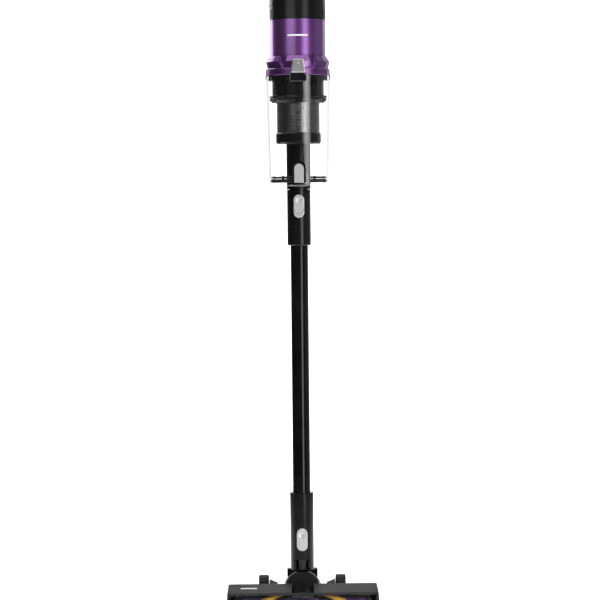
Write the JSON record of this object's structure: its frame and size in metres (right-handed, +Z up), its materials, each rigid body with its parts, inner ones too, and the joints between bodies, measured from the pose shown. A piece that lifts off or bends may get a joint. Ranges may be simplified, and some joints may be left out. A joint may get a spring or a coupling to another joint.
{
  "type": "cordless stick vacuum",
  "caption": "Upright cordless stick vacuum: motorised floor head, long wand, purple motor housing, clear front dust bin and rear battery grip.",
  "frame": {"origin": "centre of the footprint's bounding box on the floor", "axes": "+Z up; -Y is the front of the machine, where the bin and its latch face; X runs across the floor head"},
  "size_m": [0.245, 0.2824, 1.088],
  "materials": {
    "head_grey": "satin dark grey moulded plastic",
    "gloss_black": "gloss black moulded plastic",
    "satin_black": "satin black moulded plastic",
    "clear": "clear polycarbonate",
    "purple_metal": "metallic purple lacquer",
    "silver": "silver satin paint",
    "tube_metal": "gloss black anodised tube",
    "mesh_metal": "perforated steel mesh",
    "steel": "plain steel",
    "rubber": "soft black rubber",
    "pile": "purple nylon pile with yellow bristle rows",
    "filter": "pleated filter paper",
    "board": "printed circuit board",
    "light_grey": "light grey moulded plastic"
  },
  "bodies": {
    "floor_head": {"head_base": "head_grey", "head_cover": "head_grey", "head_window": "clear", "duct_cover": "gloss_black", "end_cap_left": "head_grey", "end_cap_right": "head_grey", "front_bumper": "rubber", "squeegee_strip": "rubber", "head_screws": "steel", "brush_bearings": "steel", "rear_carriage": "satin_black", "wheel_axles": "steel", "knuckle_pins": "steel"},
    "brush_roll": {"brush_core": "satin_black", "brush_motor": "steel", "brush_pile": "pile"},
    "roller_left": {"sole_roller_left": "satin_black"},
    "roller_right": {"sole_roller_right": "satin_black"},
    "wheel_left": {"rear_wheel_left": "satin_black"},
    "wheel_right": {"rear_wheel_right": "satin_black"},
    "knuckle": {"knuckle_dome": "satin_black"},
    "neck": {"neck_housing": "satin_black", "neck_inner_duct": "gloss_black", "swivel_pin": "steel", "neck_button_spring": "steel"},
    "neck_release": {"neck_button": "silver"},
    "wand": {"wand_tube": "tube_metal", "wand_lower_collar": "satin_black", "wand_upper_collar": "satin_black", "wand_button_spring": "steel"},
    "wand_release": {"wand_button": "silver"},
    "hand_unit": {"inlet_duct": "satin_black", "facet_ring": "purple_metal", "motor_shell": "purple_metal", "upper_housing": "satin_black", "fan_motor": "steel", "cyclone_collar": "satin_black", "cyclone_body": "satin_black", "mesh_shroud": "mesh_metal", "foam_filter": "filter", "cyclone_base": "satin_black", "handle_shell": "satin_black", "trigger_spring": "steel", "display_lens": "gloss_black", "control_board": "board"},
    "exhaust": {"exhaust_cap": "satin_black", "exhaust_filter": "filter"},
    "trigger": {"trigger": "gloss_black"},
    "mode_switch": {"mode_button": "silver"},
    "battery": {"battery_case": "satin_black", "battery_cells": "steel", "charge_socket": "satin_black"},
    "battery_release": {"battery_button": "gloss_black"},
    "bin": {"dust_bin": "clear", "bin_front_fittings": "gloss_black", "bin_hinge_pin": "steel"},
    "lid": {"bin_lid": "clear", "lid_seal": "rubber"},
    "lid_release": {"lid_button": "light_grey"},
    "latch": {"bin_latch": "silver"}
  },
  "joints": [
    {"name": "brush_spin", "type": "hinge", "parent": "floor_head", "child": "brush_roll", "pos_m": [0, -0.0868, 0.03], "axis": [1, 0, 0], "continuous": true},
    {"name": "roller_left_spin", "type": "hinge", "parent": "floor_head", "child": "roller_left", "pos_m": [-0.085, -0.0428, 0.006], "axis": [1, 0, 0], "continuous": true},
    {"name": "roller_right_spin", "type": "hinge", "parent": "floor_head", "child": "roller_right", "pos_m": [0.085, -0.0428, 0.006], "axis": [1, 0, 0], "continuous": true},
    {"name": "wheel_left_spin", "type": "hinge", "parent": "floor_head", "child": "wheel_left", "pos_m": [-0.065, 0.0812, 0.028], "axis": [1, 0, 0], "continuous": true},
    {"name": "wheel_right_spin", "type": "hinge", "parent": "floor_head", "child": "wheel_right", "pos_m": [0.065, 0.0812, 0.028], "axis": [1, 0, 0], "continuous": true},
    {"name": "head_pitch", "type": "hinge", "parent": "floor_head", "child": "knuckle", "pos_m": [0, -0.0108, 0.032], "axis": [-1, 0, 0], "range_deg": [0, 58]},
    {"name": "head_swivel", "type": "hinge", "parent": "knuckle", "child": "neck", "pos_m": [0, -0.0088, 0.054], "axis": [0, 1, 0], "range_deg": [-26, 26]},
    {"name": "neck_button_press", "type": "slide", "parent": "neck", "child": "neck_release", "axis": [0, 1, 0], "range_m": [0, 0.0025], "stiffness_N_per_m": 800, "deforming": ["neck_button_spring"]},
    {"name": "wand_lift", "type": "slide", "parent": "neck", "child": "wand", "axis": [0, 0, 1], "range_m": [0, 0.06]},
    {"name": "wand_button_press", "type": "slide", "parent": "wand", "child": "wand_release", "axis": [0, 1, 0], "range_m": [0, 0.0015], "stiffness_N_per_m": 800, "deforming": ["wand_button_spring"]},
    {"name": "hand_unit_lift", "type": "slide", "parent": "wand", "child": "hand_unit", "axis": [0, 0, 1], "range_m": [0, 0.06]},
    {"name": "exhaust_cap_lift", "type": "slide", "parent": "hand_unit", "child": "exhaust", "axis": [0, 0, 1], "range_m": [0, 0.06]},
    {"name": "trigger_pull", "type": "slide", "parent": "hand_unit", "child": "trigger", "axis": [0, 1, 0], "range_m": [0, 0.006], "stiffness_N_per_m": 600, "deforming": ["trigger_spring"]},
    {"name": "mode_press", "type": "slide", "parent": "hand_unit", "child": "mode_switch", "axis": [0, 0, -1], "range_m": [0, 0.0015], "stiffness_N_per_m": 800},
    {"name": "battery_slide", "type": "slide", "parent": "hand_unit", "child": "battery", "axis": [0, 0, -1], "range_m": [0, 0.05]},
    {"name": "battery_button_press", "type": "slide", "parent": "battery", "child": "battery_release", "axis": [0, 1, 0], "range_m": [0, 0.002], "stiffness_N_per_m": 800},
    {"name": "bin_slide", "type": "slide", "parent": "hand_unit", "child": "bin", "axis": [0, 0, -1], "range_m": [0, 0.12]},
    {"name": "lid_swing", "type": "hinge", "parent": "bin", "child": "lid", "pos_m": [0, -0.0344, 0.7209], "axis": [-1, 0, 0], "range_deg": [-85, 0]},
    {"name": "lid_button_press", "type": "slide", "parent": "bin", "child": "lid_release", "axis": [0, 1, 0], "range_m": [0, 0.0015], "stiffness_N_per_m": 800},
    {"name": "latch_lift", "type": "slide", "parent": "hand_unit", "child": "latch", "axis": [0, 0, 1], "range_m": [0, 0.004], "stiffness_N_per_m": 600}
  ]
}
